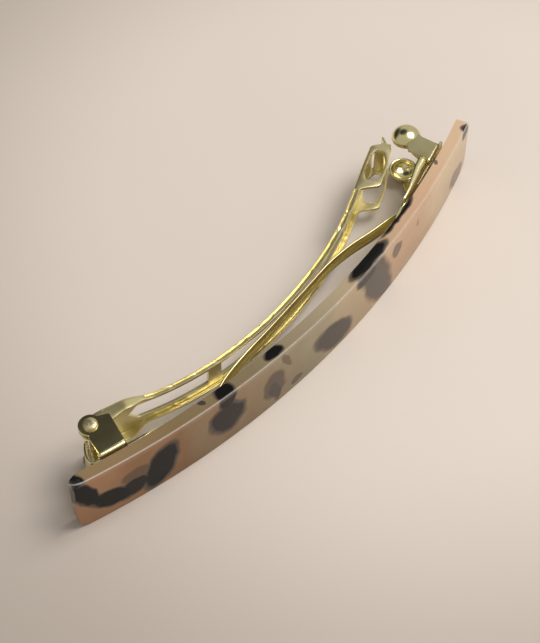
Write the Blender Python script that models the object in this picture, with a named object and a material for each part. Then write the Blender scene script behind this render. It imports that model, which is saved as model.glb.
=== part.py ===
"""A curved acetate barrette with a sprung metal clasp.

Frame: metres, +Z up. The bar stands on one long edge, its chord along X and its width along Z.
Its convex face looks along -Y and the clasp is on the +Y side. The hinge end is at -X and the
latch end at +X. The origin is on the middle of the bar's lower edge.
Everything is symmetric about the plane halfway up the bar.
"""

import math

import bmesh
import bpy
from mathutils import Vector

MM = 0.001

# Driving dimensions, in millimetres
CHORD = 95.0            # straight length of the bar, end to end
BAR_WIDTH = 12.0        # height of the bar as it stands
BAR_THICK = 2.0
BAR_RADIUS = 147.5      # of the convex face
CORNER = 2.0            # rounding of the bar's four corners
EDGE_ROUND = 0.35       # rounding of the bar's long edges

GAP = 0.25              # left between pieces that lie on each other
FILM_THICK = 0.25       # adhesive under the base plate
METAL = 0.5             # base plate, ears and arm
EAR_OUTER = 5.3         # from mid-width to the outer face of the ears
CLEAR = 0.3             # between an ear and the arm beside it

PIN_X, PIN_Y = -37.9, 12.85
PIN_R = 0.6
PIN_HOLE_R = 0.75
PIN_HEAD_R = 1.15
PIN_HEAD_TOP = 5.9      # from mid-width
EAR_LOBE_R = 1.9

BUTTON_X, BUTTON_Y = 38.5, 13.2
BUTTON_R = 2.5
BUTTON_RIM = 4.0        # from mid-width to the open rim of the dome
BUTTON_CREST = 5.95

SPRING_THICK = 0.4
SPRING_HALF = 1.5
RAIL_HALF = 3.15        # outer half width of the arm from the hinge's taper to the latch
SLOT_HALF = 1.9         # the spring stands in this slot when the arm is shut
FILM_HALF = 2.6
BASE_HALF = 2.9         # half width of the base plate between the hinge and the latch
CATCH_FROM = 3.6        # from mid-width to the tip of a latch ear's catch

MID_Z = BAR_WIDTH / 2
CENTRE_Y = BAR_RADIUS - BAR_THICK / 2    # centre of the bar's curve
INNER_R = BAR_RADIUS - BAR_THICK         # the bar's concave face
FILM_R = INNER_R - GAP
BASE_R = FILM_R - FILM_THICK - GAP       # the base plate's underside
BASE_TOP_R = BASE_R - METAL
EAR_INNER = EAR_OUTER - METAL
END_ANGLE = math.asin(CHORD / 2 / BAR_RADIUS)

GOLD = (0.80, 0.68, 0.36)


# ---------------------------------------------------------------- helpers

def clear_scene():
    for obj in list(bpy.data.objects):
        bpy.data.objects.remove(obj, do_unlink=True)


def make_material(name, colour, roughness, metallic, alpha=1.0):
    material = bpy.data.materials.new(name)
    material.use_nodes = True
    shader = material.node_tree.nodes["Principled BSDF"]
    shader.inputs["Base Color"].default_value = (*colour, 1.0)
    shader.inputs["Roughness"].default_value = roughness
    shader.inputs["Metallic"].default_value = metallic
    shader.inputs["Alpha"].default_value = alpha
    return material


def add_object(name, bm, material, origin=(0.0, 0.0, 0.0)):
    """Turn a bmesh in millimetres into an object whose origin is at the given point."""
    bmesh.ops.recalc_face_normals(bm, faces=bm.faces)
    shift = Vector(origin)
    for vert in bm.verts:
        vert.co = (vert.co - shift) * MM
    mesh = bpy.data.meshes.new(name)
    bm.to_mesh(mesh)
    bm.free()
    mesh.materials.append(material)
    mesh.shade_smooth()
    mesh.set_sharp_from_angle(angle=math.radians(35))
    obj = bpy.data.objects.new(name, mesh)
    obj.location = shift * MM
    bpy.context.scene.collection.objects.link(obj)
    return obj


def add_helper(name, bm, material):
    """A shape that only joins or cuts another one."""
    obj = add_object(name, bm, material)
    obj.hide_render = True
    obj.display_type = "WIRE"
    return obj


def combine(target, other, operation):
    modifier = target.modifiers.new(operation.lower() + "_" + other.name, "BOOLEAN")
    modifier.operation = operation
    modifier.object = other
    modifier.solver = "EXACT"


def arc_y(radius, x):
    """Y of a point at x on the bar's own family of arcs."""
    return CENTRE_Y - math.sqrt(radius * radius - x * x)


def arc_stations(radius, x_from, x_to, count):
    """Points (x, y, normal x, normal y) along an arc; the normal points to the clasp side."""
    start = math.asin(x_from / radius)
    step = (math.asin(x_to / radius) - start) / count
    angles = [start + step * i for i in range(count + 1)]
    return [(radius * math.sin(a), CENTRE_Y - radius * math.cos(a), -math.sin(a), math.cos(a))
            for a in angles]


def path_stations(points, steps):
    """A smooth path (Catmull-Rom) through the points, as (x, y, normal x, normal y)."""
    ends = [2 * points[0] - points[1], *points, 2 * points[-1] - points[-2]]
    path = []
    for i in range(1, len(ends) - 2):
        before, start, stop, after = ends[i - 1:i + 3]
        for k in range(steps):
            t = k / steps
            path.append(0.5 * (2 * start + (stop - before) * t
                               + (2 * before - 5 * start + 4 * stop - after) * t * t
                               + (3 * start - before - 3 * stop + after) * t ** 3))
    path.append(points[-1])
    stations = []
    for i, point in enumerate(path):
        ahead = path[min(i + 1, len(path) - 1)] - path[max(i - 1, 0)]
        ahead.normalize()
        stations.append((point.x, point.y, -ahead.y, ahead.x))
    return stations


def strip(stations, half_widths, thickness):
    """A bent strip: its underside follows the stations, its width is along Z."""
    bm = bmesh.new()
    rings = []
    for (x, y, nx, ny), half in zip(stations, half_widths):
        corners = ((0.0, -half), (thickness, -half), (thickness, half), (0.0, half))
        rings.append([bm.verts.new((x + nx * n, y + ny * n, MID_Z + z)) for n, z in corners])
    for first, second in zip(rings, rings[1:]):
        for k in range(4):
            j = (k + 1) % 4
            bm.faces.new((first[k], first[j], second[j], second[k]))
    bm.faces.new(rings[0])
    bm.faces.new(reversed(rings[-1]))
    return bm


def plate(outline, z_from, z_to):
    """A flat plate lying across Z."""
    bm = bmesh.new()
    low = [bm.verts.new((x, y, z_from)) for x, y in outline]
    high = [bm.verts.new((x, y, z_to)) for x, y in outline]
    bm.faces.new(low)
    bm.faces.new(reversed(high))
    for k in range(len(outline)):
        j = (k + 1) % len(outline)
        bm.faces.new((low[k], high[k], high[j], low[j]))
    return bm


def circle(x, y, radius, start_deg, stop_deg, count):
    """Points on a circle, both ends included."""
    points = []
    for i in range(count + 1):
        a = math.radians(start_deg + (stop_deg - start_deg) * i / count)
        points.append((x + radius * math.cos(a), y + radius * math.sin(a)))
    return points


def disc(x, y, radius, z_from, z_to, count=20):
    return plate(circle(x, y, radius, 0, 360 - 360 / count, count - 1), z_from, z_to)


def turned(x, y, profile, count=24):
    """A body turned about a line along Z. The profile (radius, z) starts and ends on the axis."""
    bm = bmesh.new()
    bottom = bm.verts.new((x, y, profile[0][1]))
    top = bm.verts.new((x, y, profile[-1][1]))
    rings = []
    for radius, z in profile[1:-1]:
        rings.append([bm.verts.new((px, py, z))
                      for px, py in circle(x, y, radius, 0, 360 - 360 / count, count - 1)])
    for k in range(count):
        j = (k + 1) % count
        bm.faces.new((bottom, rings[0][j], rings[0][k]))
        bm.faces.new((top, rings[-1][k], rings[-1][j]))
        for low, high in zip(rings, rings[1:]):
            bm.faces.new((low[k], low[j], high[j], high[k]))
    return bm


def taper(value, knots):
    """A piecewise straight rule through (place, size) knots, level beyond its ends."""
    if value <= knots[0][0]:
        return knots[0][1]
    for (x0, y0), (x1, y1) in zip(knots, knots[1:]):
        if value <= x1:
            return y0 + (y1 - y0) * (value - x0) / (x1 - x0)
    return knots[-1][1]


# ---------------------------------------------------------------- pieces

def acetate_bar(material):
    """The curved decorative bar. Its ends have rounded corners."""
    tip = CORNER / BAR_RADIUS
    end_angles = [END_ANGLE - tip * (1 - math.sin(math.radians(a))) for a in (0, 22, 45, 67, 90)]
    body = [END_ANGLE * (1 - 2 * i / 36) for i in range(37)]
    body = [a for a in body if abs(a) < END_ANGLE - tip * 1.3]
    angles = sorted([-a for a in end_angles] + body + end_angles)
    stations = [(BAR_RADIUS * math.sin(a), CENTRE_Y - BAR_RADIUS * math.cos(a),
                 -math.sin(a), math.cos(a)) for a in angles]
    halves = []
    for a in angles:
        into_corner = max(0.0, 1 - (END_ANGLE - abs(a)) / tip)
        halves.append(MID_Z - CORNER * (1 - math.sqrt(1 - into_corner ** 2)))
    obj = add_object("acetate_bar", strip(stations, halves, BAR_THICK), material)
    bevel = obj.modifiers.new("edge_round", "BEVEL")
    bevel.width = EDGE_ROUND * MM
    bevel.segments = 2
    bevel.limit_method = "ANGLE"
    bevel.angle_limit = math.radians(50)
    return obj


def adhesive_film(material):
    """The glue that holds the base plate to the bar."""
    stations = arc_stations(FILM_R, -39.0, 39.0, 26)
    return add_object("adhesive_film", strip(stations, [FILM_HALF] * len(stations), FILM_THICK), material)


def base_half_width(x):
    """Full width at the hinge, waisted between, and wider again between the latch ears."""
    return taper(x, ((-33.0, EAR_OUTER), (-30.8, 4.0), (-26.0, BASE_HALF), (24.0, BASE_HALF),
                     (26.5, EAR_INNER - 0.2)))


def hinge_ear_outline():
    root_left, root_right = -41.0, -37.0
    lobe = circle(PIN_X, PIN_Y, EAR_LOBE_R, 218, 12, 14)
    return [(root_left, arc_y(BASE_R, root_left)), (-39.75, 11.3), *lobe,
            (-34.55, 12.35), (-34.5, 11.9), (-36.85, 7.0), (root_right, arc_y(BASE_R, root_right))]


def base_plate(material):
    """The stamped plate glued behind the bar, with the two hinge ears and a turned-up end."""
    curl = [(-39.6, 12.6), (-40.6, 11.7), (-41.6, 10.7), (-42.3, 9.5), (-42.4, 8.5), (-41.6, 7.8),
            (-39.8, 7.42)]
    curl_stations = path_stations([Vector(p) for p in curl], 3)
    plate_stations = arc_stations(BASE_R, -41.0, 41.5, 30)
    strip_halves = [base_half_width(x) for x, _, _, _ in plate_stations]
    obj = add_object("base_plate", strip(plate_stations, strip_halves, METAL), material)
    lip_halves = [2.6, 3.3, 3.6, 3.8] + [EAR_INNER - 0.2] * (len(curl_stations) - 4)
    lip = add_helper("base_lip", strip(curl_stations, lip_halves, METAL), material)
    combine(obj, lip, "UNION")
    for side, name in ((1, "upper"), (-1, "lower")):
        faces = sorted((MID_Z + side * EAR_INNER, MID_Z + side * EAR_OUTER))
        ear = add_helper("ear_" + name, plate(hinge_ear_outline(), *faces), material)
        combine(obj, ear, "UNION")
    pin_hole = add_helper("ear_hole", disc(PIN_X, PIN_Y, PIN_HOLE_R, -2.0, BAR_WIDTH + 2.0), material)
    combine(obj, pin_hole, "DIFFERENCE")
    return obj


def hinge_pin(material):
    """The rivet through the ears and the arm, with a low head at each end."""
    low, high = MID_Z - PIN_HEAD_TOP, MID_Z + PIN_HEAD_TOP
    under = EAR_OUTER + CLEAR - 0.1
    crown = 0.15
    profile = [(0.0, low), (PIN_HEAD_R - crown * 2, low), (PIN_HEAD_R, low + crown),
               (PIN_HEAD_R, MID_Z - under), (PIN_R, MID_Z - under), (PIN_R, MID_Z + under),
               (PIN_HEAD_R, MID_Z + under), (PIN_HEAD_R, high - crown),
               (PIN_HEAD_R - crown * 2, high), (0.0, high)]
    return add_object("hinge_pin", turned(PIN_X, PIN_Y, profile), material, (PIN_X, PIN_Y, MID_Z))


def latch_ear(material, side, name):
    """One springy ear of the latch: a flange along the plate's edge, a catch and a thumb button."""
    z_in, z_out = MID_Z + side * EAR_INNER, MID_Z + side * EAR_OUTER
    root = [(x, arc_y(BASE_R, x)) for x in (27.0, 29.5, 32.0, 34.5, 37.0, 39.0, 40.6)]
    outline = [*root, (40.2, 8.0), (39.9, 11.3), (36.6, 11.6), (36.1, 8.5), (35.0, 7.7),
               (27.0, arc_y(BASE_TOP_R, 27.0))]
    fold = (38.0, arc_y(BASE_R, 38.0), MID_Z + side * (EAR_INNER + METAL / 2))
    obj = add_object(name, plate(outline, *sorted((z_in, z_out))), material, fold)
    # The button is a thin dome, hollow on its inner side.
    rim, crest = MID_Z + side * BUTTON_RIM, MID_Z + side * BUTTON_CREST
    slope = [math.radians(a) for a in (0, 22, 45, 68)]
    outer = [(BUTTON_R * math.cos(a), rim + (crest - rim) * math.sin(a)) for a in slope]
    inner_r = BUTTON_R - METAL
    hollow = crest - side * METAL
    inner = [(inner_r * math.cos(a), rim + (hollow - rim) * math.sin(a)) for a in slope]
    profile = [(0.0, hollow), *reversed(inner), *outer, (0.0, crest)]
    dome = add_helper(name + "_dome", turned(BUTTON_X, BUTTON_Y, profile), material)
    combine(obj, dome, "UNION")
    catch = [(36.1, 8.5), (36.6, 8.5), (37.2, 11.2), (36.7, 11.3)]
    catch_z = sorted((MID_Z + side * CATCH_FROM, MID_Z + side * (EAR_INNER + 0.1)))
    combine(obj, add_helper(name + "_catch", plate(catch, *catch_z), material), "UNION")
    return obj


def bow_spring(material):
    """The bowed strip that pushes the arm open and grips the hair."""
    ends = [(-20.0, arc_y(BASE_TOP_R, 20.0) + GAP), (27.5, arc_y(BASE_TOP_R, 27.5) + GAP)]
    bow = [ends[0], (-16.5, 4.9), (-11.5, 5.55), (-4.0, 6.0), (4.0, 6.6), (11.0, 7.1),
           (16.0, 6.85), (21.0, 6.0), ends[1]]
    stations = path_stations([Vector(p) for p in bow], 4)
    return add_object("bow_spring", strip(stations, [SPRING_HALF] * len(stations), SPRING_THICK),
                      material)


ARM_SPINE = ((-39.5, 14.75), (-36.2, 14.35), (-33.2, 13.5), (-29.9, 12.3), (-26.0, 10.65),
             (-22.0, 9.25), (-17.0, 8.0), (-12.0, 7.25), (-6.0, 6.85), (0.0, 7.05), (6.0, 7.7),
             (12.0, 8.8), (18.0, 10.5), (22.0, 12.0), (26.0, 13.7), (30.0, 15.4), (33.4, 16.75),
             (35.2, 17.4))
WEB_FROM, WEB_TO = -34.5, 33.8
SLOTS = ((-30.6, -17.4), (-15.0, 21.0))
WINDOW = (27.0, 33.4)   # one in each cheek of the latch end
LOBE_TO = -36.3         # the arm's cheeks are round about the pin up to here
ARM_LOBE_R = 1.7
LIP_PATH = ((33.7, 15.9), (35.2, 15.2), (36.3, 15.5), (37.2, 16.9))
LIP_THICK = 0.4


def arm_sections():
    """Stations of the arm with the shape of its channel there.

    Each is (x, y, nx, ny, half width, cheek top, cheek foot, slot half, window low, window high).
    Depths are measured along the normal from the web; window edges are fractions of the cheek.
    """
    sections = []
    for x, y, nx, ny in path_stations([Vector(p) for p in ARM_SPINE], 4):
        half = taper(x, ((-31.5, EAR_INNER - CLEAR), (-26.5, RAIL_HALF)))
        foot = -taper(x, ((-36.5, 3.0), (-34.5, 2.4), (-31.0, 1.8), (-28.0, 0.9), (24.8, 0.9),
                          (26.8, 3.9), (30.0, 3.9), (34.0, 3.4), (35.2, 3.0)))
        top = 0.0
        if x < LOBE_TO:
            depth = (PIN_X - x) * nx + (PIN_Y - y) * ny
            reach = math.sqrt(max(0.15, ARM_LOBE_R ** 2 - (x - PIN_X) ** 2))
            top, foot = depth + reach, depth - reach
        if x > WEB_TO:
            top = -taper(x, ((WEB_TO, 0.0), (35.2, 1.6)))
        slot = SLOT_HALF - METAL / 2
        slot = taper(x, ((-30.5, 0.8), (-29.3, slot), (19.4, slot), (21.0, 0.8)))
        spread = min(1.0, max(0.0, min(x - WINDOW[0], WINDOW[1] - x) / 1.6))
        low, high = 0.33 - 0.19 * spread, 0.67 + 0.19 * spread
        sections.append((x, y, nx, ny, half - METAL / 2, top, foot, slot, low, high))
    return sections


def clasp_arm(material):
    """The hinged arm: one folded sheet, a channel at both ends and two rails between."""
    sections = arm_sections()
    bm = bmesh.new()
    rows = []
    for x, y, nx, ny, half, top, foot, slot, low, high in sections:
        cheek = [foot, foot + (top - foot) * low, foot + (top - foot) * high, top]
        line = [(n, half) for n in cheek] + [(0.0, slot), (0.0, -slot)]
        line += [(n, -half) for n in reversed(cheek)]
        rows.append([bm.verts.new((x + nx * n, y + ny * n, MID_Z + z)) for n, z in line])
    cheek_columns = (0, 1, 2, 6, 7, 8)
    for (first, second), (a, b) in zip(zip(rows, rows[1:]), zip(sections, sections[1:])):
        x = (a[0] + b[0]) / 2
        in_slot = any(start < x < stop for start, stop in SLOTS)
        in_window = WINDOW[0] < x < WINDOW[1]
        for k in range(9):
            web = k not in cheek_columns
            if web and not WEB_FROM < x < WEB_TO:
                continue
            if k == 4 and in_slot:
                continue
            if k in (1, 7) and in_window:
                continue
            bm.faces.new((first[k], first[k + 1], second[k + 1], second[k]))
    bmesh.ops.delete(bm, geom=[v for v in bm.verts if not v.link_faces], context="VERTS")
    obj = add_object("clasp_arm", bm, material, (PIN_X, PIN_Y, MID_Z))
    thick = obj.modifiers.new("sheet", "SOLIDIFY")
    thick.thickness = METAL * MM
    thick.offset = 0.0
    thick.use_even_offset = True
    hole = add_helper("arm_hole", disc(PIN_X, PIN_Y, PIN_HOLE_R, -2.0, BAR_WIDTH + 2.0), material)
    combine(obj, hole, "DIFFERENCE")
    lip_path = path_stations([Vector(p) for p in LIP_PATH], 3)
    lip_halves = [RAIL_HALF - METAL] * len(lip_path)
    lip = add_helper("arm_lip", strip(lip_path, lip_halves, LIP_THICK), material)
    combine(obj, lip, "UNION")
    return obj


def main():
    clear_scene()
    acetate = make_material("tortoiseshell acetate", (0.62, 0.46, 0.36), 0.18, 0.0)
    glue = make_material("clear glue", (0.80, 0.76, 0.66), 0.4, 0.0)
    gold = make_material("pale gold metal", GOLD, 0.18, 1.0)
    acetate_bar(acetate)
    adhesive_film(glue)
    base_plate(gold)
    hinge_pin(gold)
    latch_ear(gold, 1, "latch_ear_upper")
    latch_ear(gold, -1, "latch_ear_lower")
    bow_spring(gold)
    clasp_arm(gold)


main()
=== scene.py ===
"""Barrette: the finished look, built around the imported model.

The bar stands on one long edge, its chord along X, its width along Z, its convex face along -Y.
All sizes here are in millimetres until a mesh is made.
"""

import math

import bmesh
import bpy
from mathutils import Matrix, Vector


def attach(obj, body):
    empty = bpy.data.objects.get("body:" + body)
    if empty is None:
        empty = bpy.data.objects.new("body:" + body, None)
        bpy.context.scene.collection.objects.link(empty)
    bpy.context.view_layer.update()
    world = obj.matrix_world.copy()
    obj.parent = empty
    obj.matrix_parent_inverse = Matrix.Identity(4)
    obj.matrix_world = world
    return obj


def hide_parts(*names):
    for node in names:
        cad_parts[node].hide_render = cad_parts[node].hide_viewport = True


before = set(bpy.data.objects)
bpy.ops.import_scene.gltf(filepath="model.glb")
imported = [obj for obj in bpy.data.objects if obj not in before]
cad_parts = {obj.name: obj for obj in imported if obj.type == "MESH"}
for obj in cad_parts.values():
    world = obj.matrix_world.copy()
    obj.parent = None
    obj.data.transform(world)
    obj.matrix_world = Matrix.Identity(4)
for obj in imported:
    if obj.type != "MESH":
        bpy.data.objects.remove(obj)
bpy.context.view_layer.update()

MM = 0.001

# Sizes that repeat the model's own
CHORD = 95.0
BAR_WIDTH = 12.0
BAR_THICK = 2.0
BAR_RADIUS = 147.5
CORNER = 2.0
GAP = 0.25
FILM_THICK = 0.25
METAL = 0.5
EAR_OUTER = 5.3
CLEAR = 0.3
PIN_X, PIN_Y = -37.9, 12.85
EAR_LOBE_R = 1.9
BUTTON_X, BUTTON_Y = 38.5, 13.2
BUTTON_R = 2.5
BUTTON_RIM = 4.0
BUTTON_CREST = 5.95
BASE_HALF = 2.9
CATCH_FROM = 3.6
PIN_HEAD_TOP = 5.9
RAIL_HALF = 3.15
SLOT_HALF = 1.9

MID_Z = BAR_WIDTH / 2
CENTRE_Y = BAR_RADIUS - BAR_THICK / 2
INNER_R = BAR_RADIUS - BAR_THICK
FILM_R = INNER_R - GAP
BASE_R = FILM_R - FILM_THICK - GAP
BASE_TOP_R = BASE_R - METAL
EAR_INNER = EAR_OUTER - METAL
END_ANGLE = math.asin(CHORD / 2 / BAR_RADIUS)

# Sizes that only the finished look has
FOLD_R = 0.8            # outer radius of the folds in the sheet metal
NECK_FOLD_R = 0.55      # the same, below a latch ear
EDGE = 0.07             # softening of the stamped edges
PLATE_FROM, PLATE_TO = -41.0, 41.5
FLANGE_FROM, FLANGE_TO = 27.0, 36.6
FLANGE_TURN = ((FLANGE_FROM, 0.6), (36.0, 1.9))     # its fold's radius grows towards the ear
PIN_HEAD_R, PIN_SHAFT_R, PIN_DOME = 1.15, 0.6, 0.4
BUTTON_SHEET = 0.4
SPRING_SHEET = 0.3
SPRING_HALF = 1.5
GROOVE = 0.34

# The clasp arm: where its web begins and ends, its slots and windows, and its middle line
WEB_FROM, WEB_TO = -34.5, 33.8
SLOTS = ((-30.6, -17.4), (-15.0, 21.0))
WINDOW = (27.0, 33.4)
LOBE_TO = -36.3
ARM_LOBE_R = 1.7
ARM_BEND_R = 0.3
SPINE = ((-39.5, 14.75), (-36.2, 14.35), (-33.2, 13.5), (-29.9, 12.3), (-26.0, 10.65),
         (-22.0, 9.25), (-17.0, 8.0), (-12.0, 7.25), (-6.0, 6.85), (0.0, 7.05), (6.0, 7.7),
         (12.0, 8.8), (18.0, 10.5), (22.0, 12.0), (26.0, 13.7), (30.0, 15.4), (33.4, 16.75),
         (35.2, 17.4))


# ---------------------------------------------------------------- mesh helpers

def add_object(name, bm, material, body, nodes=()):
    """Turn a bmesh in millimetres into a piece that rides on a body."""
    bmesh.ops.recalc_face_normals(bm, faces=bm.faces)
    for vert in bm.verts:
        vert.co *= MM
    mesh = bpy.data.meshes.new(name)
    bm.to_mesh(mesh)
    bm.free()
    mesh.materials.append(material)
    mesh.shade_smooth()
    obj = bpy.data.objects.new(name, mesh)
    bpy.context.scene.collection.objects.link(obj)
    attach(obj, body)
    if nodes:
        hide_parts(*nodes)
    return obj


def soften(obj, width, segments=2, angle=40.0):
    """Round the edges of a piece, and keep its broad faces flat."""
    bevel = obj.modifiers.new("edge_round", "BEVEL")
    bevel.width = width * MM
    bevel.segments = segments
    bevel.limit_method = "ANGLE"
    bevel.angle_limit = math.radians(angle)
    normals = obj.modifiers.new("broad_faces_flat", "WEIGHTED_NORMAL")
    normals.weight = 90


def arc_y(radius, x):
    """The height along Y of a curve concentric with the bar."""
    return CENTRE_Y - math.sqrt(radius * radius - x * x)


def arc_stations(radius, x_from, x_to, count):
    """Stations along a curve concentric with the bar, as (x, y, normal x, normal y)."""
    start = math.asin(x_from / radius)
    step = (math.asin(x_to / radius) - start) / count
    angles = [start + step * i for i in range(count + 1)]
    return [(radius * math.sin(a), CENTRE_Y - radius * math.cos(a), -math.sin(a), math.cos(a))
            for a in angles]


def path_stations(points, steps):
    """A smooth path through the points, as (x, y, normal x, normal y)."""
    points = [Vector(p) for p in points]
    ends = [2 * points[0] - points[1], *points, 2 * points[-1] - points[-2]]
    path = []
    for i in range(1, len(ends) - 2):
        before, start, stop, after = ends[i - 1:i + 3]
        for k in range(steps):
            t = k / steps
            path.append(0.5 * (2 * start + (stop - before) * t
                               + (2 * before - 5 * start + 4 * stop - after) * t * t
                               + (3 * start - before - 3 * stop + after) * t ** 3))
    path.append(points[-1])
    stations = []
    for i, point in enumerate(path):
        ahead = path[min(i + 1, len(path) - 1)] - path[max(i - 1, 0)]
        ahead.normalize()
        stations.append((point.x, point.y, -ahead.y, ahead.x))
    return stations


def sweep(stations, sections):
    """Join closed sections of (depth, height) points, one for each station, into a solid."""
    bm = bmesh.new()
    rings = []
    for (x, y, nx, ny), section in zip(stations, sections):
        rings.append([bm.verts.new((x + nx * n, y + ny * n, MID_Z + z)) for n, z in section])
    for first, second in zip(rings, rings[1:]):
        for k in range(len(first)):
            j = (k + 1) % len(first)
            bm.faces.new((first[k], first[j], second[j], second[k]))
    bm.faces.new(rings[0])
    bm.faces.new(reversed(rings[-1]))
    return bm


def bar_section(half, thickness):
    """A rectangle, from one face of the sheet to the other."""
    return [(0.0, -half), (thickness, -half), (thickness, half), (0.0, half)]


def plate(outline, z_from, z_to):
    """A flat piece of sheet with this outline in X and Y."""
    bm = bmesh.new()
    low = [bm.verts.new((x, y, z_from)) for x, y in outline]
    high = [bm.verts.new((x, y, z_to)) for x, y in outline]
    bm.faces.new(low)
    bm.faces.new(reversed(high))
    for k in range(len(outline)):
        j = (k + 1) % len(outline)
        bm.faces.new((low[k], high[k], high[j], low[j]))
    return bm


def circle(x, y, radius, start_deg, stop_deg, count):
    """Points along an arc, both ends included."""
    points = []
    for i in range(count + 1):
        a = math.radians(start_deg + (stop_deg - start_deg) * i / count)
        points.append((x + radius * math.cos(a), y + radius * math.sin(a)))
    return points


def turned(x, y, profile, count=64):
    """A body turned about a line along Z. The profile (radius, z) starts and ends on the axis."""
    bm = bmesh.new()
    bottom = bm.verts.new((x, y, profile[0][1]))
    top = bm.verts.new((x, y, profile[-1][1]))
    rings = []
    for radius, z in profile[1:-1]:
        rings.append([bm.verts.new((px, py, z))
                      for px, py in circle(x, y, radius, 0, 360 - 360 / count, count - 1)])
    for k in range(count):
        j = (k + 1) % count
        bm.faces.new((bottom, rings[0][j], rings[0][k]))
        bm.faces.new((top, rings[-1][k], rings[-1][j]))
        for low, high in zip(rings, rings[1:]):
            bm.faces.new((low[k], low[j], high[j], high[k]))
    return bm


def taper(value, knots):
    """A smooth rule through (place, size) knots, level beyond its ends."""
    if value <= knots[0][0]:
        return knots[0][1]
    for (x0, y0), (x1, y1) in zip(knots, knots[1:]):
        if value <= x1:
            t = (value - x0) / (x1 - x0)
            return y0 + (y1 - y0) * t * t * (3 - 2 * t)
    return knots[-1][1]


def fold_section(side, half, turn=FOLD_R):
    """The quarter ring where the plate turns up into an ear."""
    centre = half - turn
    points = []
    for radius, degrees in ((turn, range(-95, 6, 10)), (turn - METAL, range(5, -96, -10))):
        for d in degrees:
            a = math.radians(d)
            points.append((turn + radius * math.sin(a), side * (centre + radius * math.cos(a))))
    return points


# ---------------------------------------------------------------- materials

class Nodes:
    """A short way to write a material's node tree."""

    def __init__(self, name):
        self.material = bpy.data.materials.new(name)
        self.material.use_nodes = True
        self.tree = self.material.node_tree
        self.shader = self.tree.nodes["Principled BSDF"]

    def link(self, source, target):
        self.tree.links.new(source, target)

    def node(self, kind, **inputs):
        node = self.tree.nodes.new(kind)
        for key, value in inputs.items():
            self.feed(node, key.replace("_", " "), value)
        return node

    def feed(self, node, key, value):
        socket = node.inputs[int(key)] if key.isdigit() else node.inputs[key]
        if isinstance(value, bpy.types.NodeSocket):
            self.link(value, socket)
        else:
            socket.default_value = value

    def math(self, operation, *values, clamp=False):
        node = self.tree.nodes.new("ShaderNodeMath")
        node.operation = operation
        node.use_clamp = clamp
        for i, value in enumerate(values):
            self.feed(node, str(i), value)
        return node.outputs[0]

    def mix(self, factor, first, second):
        """Blend two colours, each a socket or three numbers."""
        node = self.tree.nodes.new("ShaderNodeMix")
        node.data_type = "RGBA"
        for key, value in ((0, factor), (6, first), (7, second)):
            if isinstance(value, bpy.types.NodeSocket):
                self.link(value, node.inputs[key])
            else:
                node.inputs[key].default_value = value if key == 0 else (*value, 1.0)
        return node.outputs[2]

    def multiply(self, first, second):
        node = self.tree.nodes.new("ShaderNodeMix")
        node.data_type = "RGBA"
        node.blend_type = "MULTIPLY"
        node.inputs[0].default_value = 1.0
        self.link(first, node.inputs[6])
        self.link(second, node.inputs[7])
        return node.outputs[2]

    def ramp(self, value, stops):
        """Turn a value into a colour by (place, colour) stops."""
        node = self.tree.nodes.new("ShaderNodeValToRGB")
        elements = node.color_ramp.elements
        while len(elements) > 1:
            elements.remove(elements[0])
        elements[0].position, elements[0].color = stops[0][0], (*stops[0][1], 1.0)
        for place, colour in stops[1:]:
            elements.new(place).color = (*colour, 1.0)
        self.link(value, node.inputs[0])
        return node.outputs[0]

    def noise(self, vector, scale, detail=3.0, rough=0.5):
        return self.node("ShaderNodeTexNoise", Vector=vector, Scale=scale, Detail=detail,
                         Roughness=rough)

    def place(self):
        return self.node("ShaderNodeTexCoord").outputs["Object"]


def gold_metal(name, polish, bright, dull):
    """Pale gold plating with faint stamping marks and wear. Polish is its least roughness."""
    n = Nodes(name)
    place = n.place()
    cloud = n.noise(place, 220.0, 3.0).outputs[0]
    scratches = n.node("ShaderNodeMapping", Vector=place)
    scratches.inputs["Scale"].default_value = (0.25, 1.0, 2.2)
    fine = n.noise(scratches.outputs[0], 5200.0, 4.0, 0.6).outputs[0]
    colour = n.ramp(cloud, ((0.30, dull), (0.62, bright)))
    n.link(colour, n.shader.inputs["Base Color"])
    rough = n.math("MULTIPLY_ADD", cloud, 0.10, polish)
    rough = n.math("MULTIPLY_ADD", fine, 0.06, rough)
    n.link(rough, n.shader.inputs["Roughness"])
    bump = n.node("ShaderNodeBump", Strength=0.03, Distance=0.00003, Height=fine)
    n.link(bump.outputs[0], n.shader.inputs["Normal"])
    n.shader.inputs["Metallic"].default_value = 1.0
    return n.material


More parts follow.
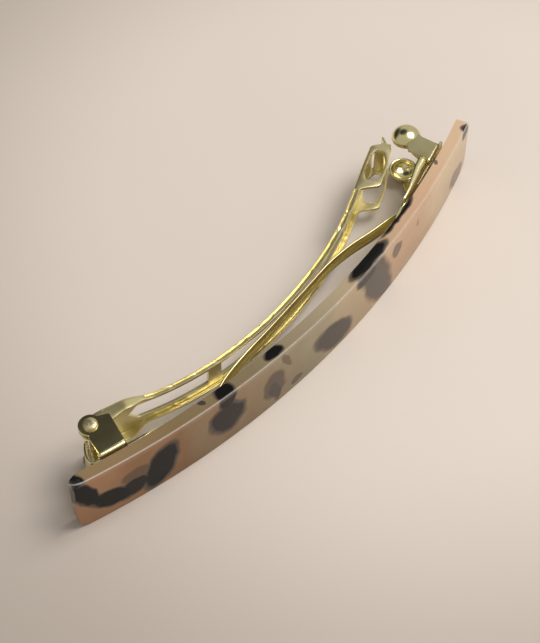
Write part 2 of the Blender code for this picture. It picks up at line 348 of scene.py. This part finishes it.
# Dark patches of the acetate: (x, height, half length, half height, lean, depth of colour), in mm.
# Heights run from 0 at the lower edge to BAR_WIDTH at the front's upper edge, and on across the
# upper edge's thickness. Lean is the shift along x for each mm of height.
PATCHES = (
    (-46.3, 8.6, 1.7, 4.2, -0.35, 1.0),
    (-42.2, 4.3, 3.2, 2.7, -0.8, 1.0),
    (-46.9, 12.9, 1.2, 1.6, 0.0, 1.0),
    (-38.2, 3.8, 2.5, 2.2, 0.0, 0.95),
    (-38.0, 6.8, 2.6, 1.7, 0.0, 0.35),
    (-33.5, 5.0, 3.0, 4.7, 0.25, 1.0),
    (-25.1, 13.4, 0.5, 0.5, 0.0, 0.75),
    (-21.2, 12.9, 1.75, 1.4, 0.0, 1.0),
    (-21.1, 10.9, 1.6, 2.2, 0.0, 0.95),
    (-20.9, 6.2, 3.7, 3.8, -0.1, 0.88),
    (-10.6, 13.1, 1.7, 0.95, 0.0, 1.0),
    (-8.6, 9.3, 0.7, 2.2, -0.5, 0.3),
    (-11.4, 5.2, 2.3, 3.6, 0.0, 0.42),
    (-11.4, 3.4, 1.1, 2.6, -0.15, 0.62),
    (-6.7, 1.7, 1.4, 0.9, 0.0, 0.42),
    (2.6, 4.1, 4.3, 3.9, -0.55, 0.66),
    (12.4, 13.15, 5.0, 1.35, 0.0, 1.0),
    (10.6, 10.8, 2.8, 1.9, -0.4, 0.8),
    (14.2, 6.4, 3.6, 7.5, -0.42, 0.47),
    (19.7, 8.0, 1.6, 1.9, -0.2, 0.38),
    (27.1, 7.6, 0.5, 0.9, 0.0, 0.2),
    (22.6, 14.1, 5.0, 0.95, 0.0, 1.0),
    (36.3, 13.45, 0.55, 0.45, 0.0, 0.4),
    (42.9, 2.2, 3.0, 2.4, -0.3, 0.36),
    (45.3, 10.9, 1.5, 1.9, -0.2, 1.0),
)


def acetate():
    """Blond tortoiseshell: warm translucent sheet with soft-edged dark patches."""
    n = Nodes("tortoiseshell acetate")
    mm = n.node("ShaderNodeVectorMath")
    mm.operation = "SCALE"
    n.link(n.place(), mm.inputs[0])
    mm.inputs["Scale"].default_value = 1000.0
    split = n.node("ShaderNodeSeparateXYZ", Vector=mm.outputs[0])
    across = n.math("SUBTRACT", CENTRE_Y, split.outputs[1])
    reach = n.math("SQRT", n.math("ADD", n.math("MULTIPLY", split.outputs[0], split.outputs[0]),
                                  n.math("MULTIPLY", across, across)))
    # The height on the front face, which runs on over the upper edge's thickness
    height = n.math("ADD", split.outputs[2], n.math("SUBTRACT", BAR_RADIUS, reach))
    # Two noises push the patches' outlines about, one wide and one small
    wide = n.node("ShaderNodeSeparateColor", Color=n.noise(mm.outputs[0], 0.14, 2.0).outputs[1])
    small = n.node("ShaderNodeSeparateColor", Color=n.noise(mm.outputs[0], 0.42, 1.5).outputs[1])
    x = n.math("MULTIPLY_ADD", n.math("SUBTRACT", wide.outputs[0], 0.5), 2.6, split.outputs[0])
    x = n.math("MULTIPLY_ADD", n.math("SUBTRACT", small.outputs[0], 0.5), 1.3, x)
    z = n.math("MULTIPLY_ADD", n.math("SUBTRACT", wide.outputs[1], 0.5), 1.7, height)
    z = n.math("MULTIPLY_ADD", n.math("SUBTRACT", small.outputs[1], 0.5), 0.8, z)
    cover = None
    for px, pz, half_x, half_z, lean, depth in PATCHES:
        rise = n.math("SUBTRACT", z, pz)
        run = n.math("SUBTRACT", n.math("MULTIPLY_ADD", rise, -lean, x), px)
        dx = n.math("DIVIDE", run, half_x)
        dz = n.math("DIVIDE", rise, half_z)
        squares = n.math("ADD", n.math("MULTIPLY", dx, dx), n.math("MULTIPLY", dz, dz))
        away = n.math("SQRT", squares)
        patch = n.math("MULTIPLY_ADD", away, -3.0, 3.4, clamp=True)
        patch = n.math("MULTIPLY", patch, depth)
        cover = patch if cover is None else n.math("MAXIMUM", cover, patch)
    veil = n.noise(mm.outputs[0], 0.10, 3.0).outputs[0]
    along = n.math("MULTIPLY_ADD", split.outputs[0], 1 / CHORD, 0.5)
    drift = n.math("MULTIPLY_ADD", n.math("SUBTRACT", veil, 0.5), 0.40, along)
    front = n.ramp(drift, ((0.06, (0.40, 0.22, 0.115)), (0.20, (0.28, 0.150, 0.072)),
                           (0.34, (0.31, 0.225, 0.135)), (0.47, (0.335, 0.285, 0.185)),
                           (0.55, (0.46, 0.36, 0.23)), (0.70, (0.55, 0.38, 0.235)),
                           (0.78, (0.545, 0.345, 0.205)), (0.90, (0.62, 0.458, 0.29))))
    lift = n.node("ShaderNodeCombineColor")
    for k in range(3):
        n.link(n.math("MULTIPLY_ADD", height, 0.03, 0.82), lift.inputs[k])
    front = n.multiply(front, lift.outputs[0])
    back = n.ramp(along, ((0.09, (0.29, 0.20, 0.105)), (0.18, (0.24, 0.172, 0.085)),
                          (0.34, (0.237, 0.19, 0.11)), (0.47, (0.343, 0.28, 0.184)),
                          (0.55, (0.44, 0.35, 0.23)), (0.78, (0.60, 0.39, 0.25)),
                          (0.92, (0.66, 0.46, 0.30))))
    upper = n.math("MULTIPLY_ADD", height, 1.6, -1.6 * BAR_WIDTH + 0.3, clamp=True)
    ground = n.mix(upper, front, back)
    dark = n.ramp(cover, ((0.0, (0.20, 0.11, 0.06)), (0.30, (0.13, 0.076, 0.045)),
                          (0.45, (0.120, 0.098, 0.078)),
                          (0.70, (0.080, 0.066, 0.057)), (0.88, (0.034, 0.026, 0.021)),
                          (1.0, (0.011, 0.010, 0.010))))
    colour = n.mix(n.math("MULTIPLY", cover, 2.2, clamp=True), ground, dark)
    # Painted highlight: a pale line mixed into the colour along the front's upper edge, fading
    # towards the latch end
    from_edge = n.math("ABSOLUTE", n.math("SUBTRACT", height, BAR_WIDTH))
    painted_highlight_band = n.math("MULTIPLY_ADD", from_edge, -7.0, 1.5, clamp=True)
    fade = n.math("MULTIPLY_ADD", along, -1.1, 1.0, clamp=True)
    painted_edge_highlight = n.math("MULTIPLY", n.math("MULTIPLY", painted_highlight_band, fade), 0.6)
    colour = n.mix(painted_edge_highlight, colour, (0.80, 0.77, 0.72))
    n.link(colour, n.shader.inputs["Base Color"])
    n.shader.inputs["Roughness"].default_value = 0.10
    n.shader.inputs["Specular IOR Level"].default_value = 0.12
    n.shader.inputs["Subsurface Weight"].default_value = 0.12
    n.shader.inputs["Subsurface Radius"].default_value = (1.0, 0.55, 0.35)
    n.shader.inputs["Subsurface Scale"].default_value = 0.0008
    buffed = n.math("MULTIPLY_ADD", from_edge, -1.6, 1.7, clamp=True)
    n.link(buffed, n.shader.inputs["Coat Weight"])
    n.shader.inputs["Coat Roughness"].default_value = 0.03
    skin = n.noise(mm.outputs[0], 0.35, 2.0).outputs[0]
    bump = n.node("ShaderNodeBump", Strength=0.06, Distance=0.0003, Height=skin)
    n.link(bump.outputs[0], n.shader.inputs["Normal"])
    return n.material


def glue():
    """Clear glue with a few trapped bubbles."""
    n = Nodes("clear glue")
    cloud = n.noise(n.place(), 900.0, 2.0).outputs[0]
    colour = n.ramp(cloud, ((0.35, (0.62, 0.53, 0.42)), (0.65, (0.78, 0.70, 0.58))))
    n.link(colour, n.shader.inputs["Base Color"])
    n.shader.inputs["Roughness"].default_value = 0.35
    return n.material


def floor_material():
    """A pale matt cloth-like backdrop, darkened by painted shade away from a point near the bar.
    """
    n = Nodes("pale backdrop")
    cloud = n.noise(n.place(), 9.0, 3.0).outputs[0]
    colour = n.ramp(cloud, ((0.3, (0.735, 0.655, 0.585)), (0.7, (0.775, 0.695, 0.625))))
    # Painted shade: the floor colour darkens smoothly with distance from this point, standing in
    # for dimmer light towards the corners
    reach = n.node("ShaderNodeVectorMath")
    reach.operation = "DISTANCE"
    n.link(n.place(), reach.inputs[0])
    reach.inputs[1].default_value = (0.032, 0.010, 0.0)
    painted_shade_falloff = n.node("ShaderNodeMapRange", Value=reach.outputs["Value"])
    painted_shade_falloff.interpolation_type = "SMOOTHSTEP"
    painted_shade_falloff.inputs["From Min"].default_value = 0.045
    painted_shade_falloff.inputs["From Max"].default_value = 0.105
    painted_shade = n.ramp(painted_shade_falloff.outputs[0], ((0.0, (1.0, 1.0, 1.0)), (1.0, (0.64, 0.62, 0.60))))
    n.link(n.multiply(colour, painted_shade), n.shader.inputs["Base Color"])
    n.shader.inputs["Roughness"].default_value = 0.75
    return n.material


# ---------------------------------------------------------------- pieces

def acetate_bar(material):
    """The curved bar, rounded at its corners and along its edges."""
    tip = CORNER / BAR_RADIUS
    corner = [END_ANGLE - tip * (1 - math.sin(math.radians(a))) for a in range(0, 91, 9)]
    body = [END_ANGLE * (1 - 2 * i / 90) for i in range(91)]
    body = [a for a in body if abs(a) < END_ANGLE - tip * 1.2]
    angles = sorted([-a for a in corner] + body + corner)
    stations = [(BAR_RADIUS * math.sin(a), CENTRE_Y - BAR_RADIUS * math.cos(a),
                 -math.sin(a), math.cos(a)) for a in angles]
    sections = []
    for a in angles:
        into_corner = min(1.0, max(0.0, 1 - (END_ANGLE - abs(a)) / tip))
        half = MID_Z - CORNER * (1 - math.sqrt(1 - into_corner ** 2))
        sections.append(bar_section(half, BAR_THICK))
    obj = add_object("acetate_bar_fine", sweep(stations, sections), material, "root",
                     ["acetate_bar"])
    soften(obj, 0.6, 6, 50.0)


def base_half_width(x):
    return taper(x, ((-33.0, EAR_OUTER - FOLD_R), (-30.8, 4.0), (-26.0, BASE_HALF),
                     (24.0, BASE_HALF), (26.5, EAR_INNER - 0.4)))


def base_plate(material):
    """The stamped plate with its turned-up end, two hinge ears and their rounded folds."""
    stations = arc_stations(BASE_R, PLATE_FROM, PLATE_TO, 90)
    sections = [bar_section(base_half_width(s[0]), METAL) for s in stations]
    obj = add_object("base_plate_fine", sweep(stations, sections), material, "root",
                     ["base_plate"])
    soften(obj, EDGE)
    curl = ((-39.6, 12.6), (-40.6, 11.7), (-41.6, 10.7), (-42.3, 9.5), (-42.4, 8.5), (-41.6, 7.8),
            (-39.8, 7.42))
    stations = path_stations(curl, 8)
    sections = []
    for i in range(len(stations)):
        crown = math.sqrt(max(0.0, 1 - max(0.0, 1 - i / 10) ** 2.2))
        sections.append(bar_section(2.4 + 2.2 * crown, METAL))
    lip = add_object("base_plate_turned_end", sweep(stations, sections), material, "root")
    soften(lip, 0.2, 3)
    for side, name in ((1, "upper"), (-1, "lower")):
        lobe = circle(PIN_X, PIN_Y, EAR_LOBE_R, 218, 12, 40)
        outline = [(-40.65, 8.4), (-39.75, 11.3), *lobe, *circle(-34.95, 12.1, 0.4, 75, -25, 6),
                   (-36.35, 7.25)]
        faces = sorted((MID_Z + side * EAR_INNER, MID_Z + side * EAR_OUTER))
        ear = add_object("hinge_ear_" + name, plate(outline, *faces), material, "root")
        soften(ear, EDGE, 2, 50.0)
        fold = arc_stations(BASE_R, -41.1, -36.6, 10)
        fold_bm = sweep(fold, [fold_section(side, EAR_OUTER)] * len(fold))
        add_object("hinge_fold_" + name, fold_bm, material, "root")


def peened_metal():
    """The rivet's hammered head: the same plating, rougher."""
    n = Nodes("peened gold metal")
    dents = n.noise(n.place(), 1300.0, 2.0).outputs[0]
    colour = n.ramp(dents, ((0.35, (0.46, 0.39, 0.22)), (0.65, (0.72, 0.64, 0.42))))
    n.link(colour, n.shader.inputs["Base Color"])
    n.shader.inputs["Roughness"].default_value = 0.38
    n.shader.inputs["Metallic"].default_value = 1.0
    bump = n.node("ShaderNodeBump", Strength=0.5, Distance=0.0002, Height=dents)
    n.link(bump.outputs[0], n.shader.inputs["Normal"])
    return n.material


def hinge_pin(material):
    """The rivet, with a low domed head at each end."""
    under = EAR_OUTER + 0.05
    dome = []
    for i in range(8):
        a = math.radians(i * 90 / 8)
        dome.append((PIN_HEAD_R * math.cos(a) ** 0.8,
                     PIN_HEAD_TOP - PIN_DOME + PIN_DOME * math.sin(a)))
    upper = [(PIN_SHAFT_R, MID_Z + under), (PIN_HEAD_R, MID_Z + under)]
    upper += [(r, MID_Z + z) for r, z in dome] + [(0.0, MID_Z + PIN_HEAD_TOP)]
    lower = [(r, 2 * MID_Z - z) for r, z in reversed(upper)]
    bm = turned(PIN_X, PIN_Y, lower + upper, 48)
    add_object("hinge_pin_fine", bm, material, "root", ["hinge_pin"])


def latch_ear(material, side, name, body):
    """A springy latch ear: fold, flange, catch and a domed thumb button."""
    z_in, z_out = MID_Z + side * EAR_INNER, MID_Z + side * EAR_OUTER
    foot = [(x, arc_y(BASE_R - NECK_FOLD_R, x) - 0.05) for x in (36.1, 37.2, 38.2, 39.2, 40.0)]
    outline = [*foot, (39.8, 8.6), (39.5, 10.6), (39.6, 11.6), (36.4, 11.6), (35.6, 10.6),
               (36.15, 8.3)]
    obj = add_object(name + "_fine", plate(outline, *sorted((z_in, z_out))), material, body,
                     [name])
    soften(obj, EDGE, 2, 50.0)
    flange = arc_stations(BASE_R, FLANGE_FROM, FLANGE_TO, 20)
    turns = [taper(x, FLANGE_TURN) for x, _, _, _ in flange]
    flange_bm = sweep(flange, [fold_section(side, EAR_OUTER - 0.05, turn) for turn in turns])
    add_object(name + "_flange", flange_bm, material, body)
    neck = arc_stations(BASE_R, 36.0, 40.05, 8)
    neck_bm = sweep(neck, [fold_section(side, EAR_OUTER, NECK_FOLD_R)] * len(neck))
    add_object(name + "_fold", neck_bm, material, body)
    rim, crest = MID_Z + side * BUTTON_RIM, MID_Z + side * BUTTON_CREST
    hollow = crest - side * BUTTON_SHEET
    steps = [math.radians(i * 90 / 12) for i in range(12)]
    outer = [(BUTTON_R * math.cos(a), rim + (crest - rim) * math.sin(a)) for a in steps]
    inner = [((BUTTON_R - BUTTON_SHEET) * math.cos(a), rim + (hollow - rim) * math.sin(a))
             for a in steps]
    lip = [(BUTTON_R - 0.12, rim - side * 0.1)]
    profile = [(0.0, hollow), *reversed(inner), *lip, *outer, (0.0, crest)]
    add_object(name + "_button", turned(BUTTON_X, BUTTON_Y, profile), material, body)
    catch = ((36.1, 8.5), (36.6, 8.5), (37.2, 11.2), (36.7, 11.3))
    catch_z = sorted((MID_Z + side * CATCH_FROM, MID_Z + side * (EAR_INNER + 0.1)))
    catch_obj = add_object(name + "_catch", plate(catch, *catch_z), material, body)
    soften(catch_obj, EDGE)


def bow_spring(material):
    """The bowed spring strip, stiffened by a groove along its middle."""
    ends = ((-20.0, arc_y(BASE_TOP_R, 20.0) + GAP), (27.5, arc_y(BASE_TOP_R, 27.5) + GAP))
    bow = (ends[0], (-16.5, 4.9), (-11.5, 5.55), (-4.0, 6.0), (4.0, 6.6), (11.0, 7.1),
           (16.0, 6.85), (21.0, 6.0), ends[1])
    stations = path_stations(bow, 12)
    sections = []
    for i in range(len(stations)):
        end = min(i, len(stations) - 1 - i)
        groove = GROOVE * min(1.0, end / 14)
        half = SPRING_HALF * min(1.0, 0.72 + end / 20)
        across = [half * (-1 + 2 * k / 20) for k in range(21)]
        sink = [-groove * math.exp(-(z / (0.24 * half)) ** 2) for z in across]
        section = [(0.05 + d, z) for d, z in zip(sink, across)]
        section += [(0.05 + SPRING_SHEET + d, z) for d, z in reversed(list(zip(sink, across)))]
        sections.append(section)
    obj = add_object("bow_spring_fine", sweep(stations, sections), material, "root",
                     ["bow_spring"])
    soften(obj, 0.09, 3)


def arm_shape(x, y, nx, ny):
    """Half width, cheek top and foot, slot half width and window edges at one station."""
    half = taper(x, ((-31.5, EAR_INNER - CLEAR), (-26.5, RAIL_HALF))) - METAL / 2
    foot = -taper(x, ((-36.5, 3.0), (-34.5, 2.4), (-31.0, 1.8), (-28.0, 0.9), (24.8, 0.9),
                      (26.8, 3.9), (30.0, 3.9), (34.0, 3.4), (35.2, 3.0)))
    top = 0.0
    if x < LOBE_TO:
        depth = (PIN_X - x) * nx + (PIN_Y - y) * ny
        reach = math.sqrt(max(0.05, ARM_LOBE_R ** 2 - (x - PIN_X) ** 2))
        top, foot = depth + reach, depth - reach
    if x > WEB_TO:
        top = -taper(x, ((WEB_TO, 0.0), (35.2, 1.6)))
    slot = SLOT_HALF - METAL / 2
    slot = taper(x, ((-30.6, 0.25), (-29.0, slot), (19.4, slot), (21.0, 0.3)))
    spread = min(1.0, max(0.0, min(x - WINDOW[0], WINDOW[1] - x) / 1.6)) ** 0.85
    low, high = 0.33 - 0.22 * spread, 0.67 + 0.22 * spread
    return half, top, foot, slot, low, high


def clasp_arm(material):
    """The folded arm: a channel at both ends, two rails with rounded backs between them."""
    bm = bmesh.new()
    rows, places = [], []
    for x, y, nx, ny in path_stations(SPINE, 16):
        half, top, foot, slot, low, high = arm_shape(x, y, nx, ny)
        bend = ARM_BEND_R if WEB_FROM <= x <= WEB_TO else 0.0
        cheek = [(foot, half), (foot + (top - foot) * low, half),
                 (foot + (top - foot) * high, half)]
        corner = [(top - bend * (1 - math.sin(a)), half - bend * (1 - math.cos(a)))
                  for a in (math.radians(d) for d in (0, 30, 60, 90))]
        side = cheek + corner + [(0.0, slot)]
        line = side + [(n, -z) for n, z in reversed(side)]
        rows.append([bm.verts.new((x + nx * n, y + ny * n, MID_Z + z)) for n, z in line])
        places.append(x)
    last = len(rows[0]) - 2
    for i, (first, second) in enumerate(zip(rows, rows[1:])):
        x = (places[i] + places[i + 1]) / 2
        in_slot = any(start < x < stop for start, stop in SLOTS)
        in_window = WINDOW[0] < x < WINDOW[1]
        for k in range(last + 1):
            column = min(k, last - k)
            if column >= 3 and not WEB_FROM < x < WEB_TO:
                continue
            if column == last // 2 and in_slot:
                continue
            if column == 1 and in_window:
                continue
            bm.faces.new((first[k], first[k + 1], second[k + 1], second[k]))
    bmesh.ops.delete(bm, geom=[v for v in bm.verts if not v.link_faces], context="VERTS")
    obj = add_object("clasp_arm_fine", bm, material, "arm", ["clasp_arm"])
    thick = obj.modifiers.new("sheet", "SOLIDIFY")
    thick.thickness = METAL * MM
    thick.offset = 0.0
    soften(obj, 0.12, 3, 50.0)
    lip = path_stations(((33.7, 15.9), (35.2, 15.2), (36.3, 15.5), (37.2, 16.9)), 8)
    sections = [bar_section(RAIL_HALF - METAL, 0.4)] * len(lip)
    lip_obj = add_object("clasp_arm_lip", sweep(lip, sections), material, "arm")
    soften(lip_obj, EDGE)


# ---------------------------------------------------------------- stage

def aim(obj, place, target):
    """Put a camera or a lamp at a place, looking at the target (metres)."""
    obj.location = place
    obj.rotation_euler = (Vector(target) - Vector(place)).to_track_quat("-Z", "Y").to_euler()


def camera():
    """The viewpoint that was fitted to the photo."""
    heading, elevation, distance = math.radians(49.25), math.radians(54.0), 0.294
    target = Vector((0.00014, 0.01038, 0.0))
    back = Vector((-math.sin(heading), -math.cos(heading), 0.0)) * math.cos(elevation)
    data = bpy.data.cameras.new("camera")
    data.lens = 101.3
    data.sensor_width = 36.0
    obj = bpy.data.objects.new("camera", data)
    bpy.context.scene.collection.objects.link(obj)
    aim(obj, target + (back + Vector((0, 0, math.sin(elevation)))) * distance, target)
    bpy.context.scene.camera = obj


def area_light(name, place, target, size, power, colour):
    data = bpy.data.lights.new(name, "AREA")
    data.shape = "RECTANGLE"
    data.size, data.size_y = size
    data.energy = power
    data.color = colour
    obj = bpy.data.objects.new(name, data)
    bpy.context.scene.collection.objects.link(obj)
    aim(obj, place, target)


# The room is dark overhead, where the flat upward metal reflects it to the camera, and behind:
# (direction, where the dark begins, where it is full), as cosines.
DARK_CORNERS = (
    (Vector((0.20, 0.52, 0.83)), 0.895, 0.965),
    (Vector((-0.08, 0.985, 0.15)), 0.72, 0.93),
)


def lights():
    """One soft lamp, and a room that gives the metal something to reflect."""
    area_light("key", (0.204, -0.122, 0.44), (0.0, 0.005, 0.0), (0.28, 0.28), 1.75,
               (1.0, 0.975, 0.94))
    world = bpy.data.worlds.new("soft room")
    world.use_nodes = True
    tree = world.node_tree
    place = tree.nodes.new("ShaderNodeTexCoord")
    deepest = tree.nodes.new("ShaderNodeMath")
    deepest.operation = "MAXIMUM"
    for k, (direction, begins, full) in enumerate(DARK_CORNERS):
        turn = tree.nodes.new("ShaderNodeVectorMath")
        turn.operation = "DOT_PRODUCT"
        turn.inputs[1].default_value = direction
        near = tree.nodes.new("ShaderNodeMapRange")
        near.interpolation_type = "SMOOTHSTEP"
        near.inputs["From Min"].default_value = begins
        near.inputs["From Max"].default_value = full
        tree.links.new(place.outputs["Generated"], turn.inputs[0])
        tree.links.new(turn.outputs["Value"], near.inputs["Value"])
        tree.links.new(near.outputs["Result"], deepest.inputs[k])
    ramp = tree.nodes.new("ShaderNodeValToRGB")
    elements = ramp.color_ramp.elements
    elements[0].position, elements[0].color = 0.0, (0.50, 0.485, 0.465, 1.0)
    elements[1].position, elements[1].color = 1.0, (0.035, 0.034, 0.032, 1.0)
    tree.links.new(deepest.outputs[0], ramp.inputs[0])
    tree.links.new(ramp.outputs[0], tree.nodes["Background"].inputs["Color"])
    bpy.context.scene.world = world


def floor():
    """A wide floor, a hair below the bar's lower edge."""
    bm = bmesh.new()
    side, drop = 1.5, -0.0001
    corners = ((-side, -side), (side, -side), (side, side), (-side, side))
    bm.faces.new([bm.verts.new((x, y, drop)) for x, y in corners])
    mesh = bpy.data.meshes.new("floor")
    bm.to_mesh(mesh)
    bm.free()
    mesh.materials.append(floor_material())
    obj = bpy.data.objects.new("floor", mesh)
    bpy.context.scene.collection.objects.link(obj)


def main():
    camera()
    lights()
    floor()
    gold = gold_metal("pale gold metal", 0.11, (0.88, 0.80, 0.46), (0.78, 0.70, 0.36))
    worn = gold_metal("worn gold metal", 0.24, (0.84, 0.75, 0.42), (0.74, 0.64, 0.32))
    acetate_bar(acetate())
    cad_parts["adhesive_film"].data.materials.clear()
    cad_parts["adhesive_film"].data.materials.append(glue())
    base_plate(gold)
    hinge_pin(peened_metal())
    latch_ear(gold, 1, "latch_ear_upper", "upper_ear")
    latch_ear(gold, -1, "latch_ear_lower", "lower_ear")
    bow_spring(worn)
    clasp_arm(worn)
    bpy.context.scene.view_settings.view_transform = "Standard"


main()
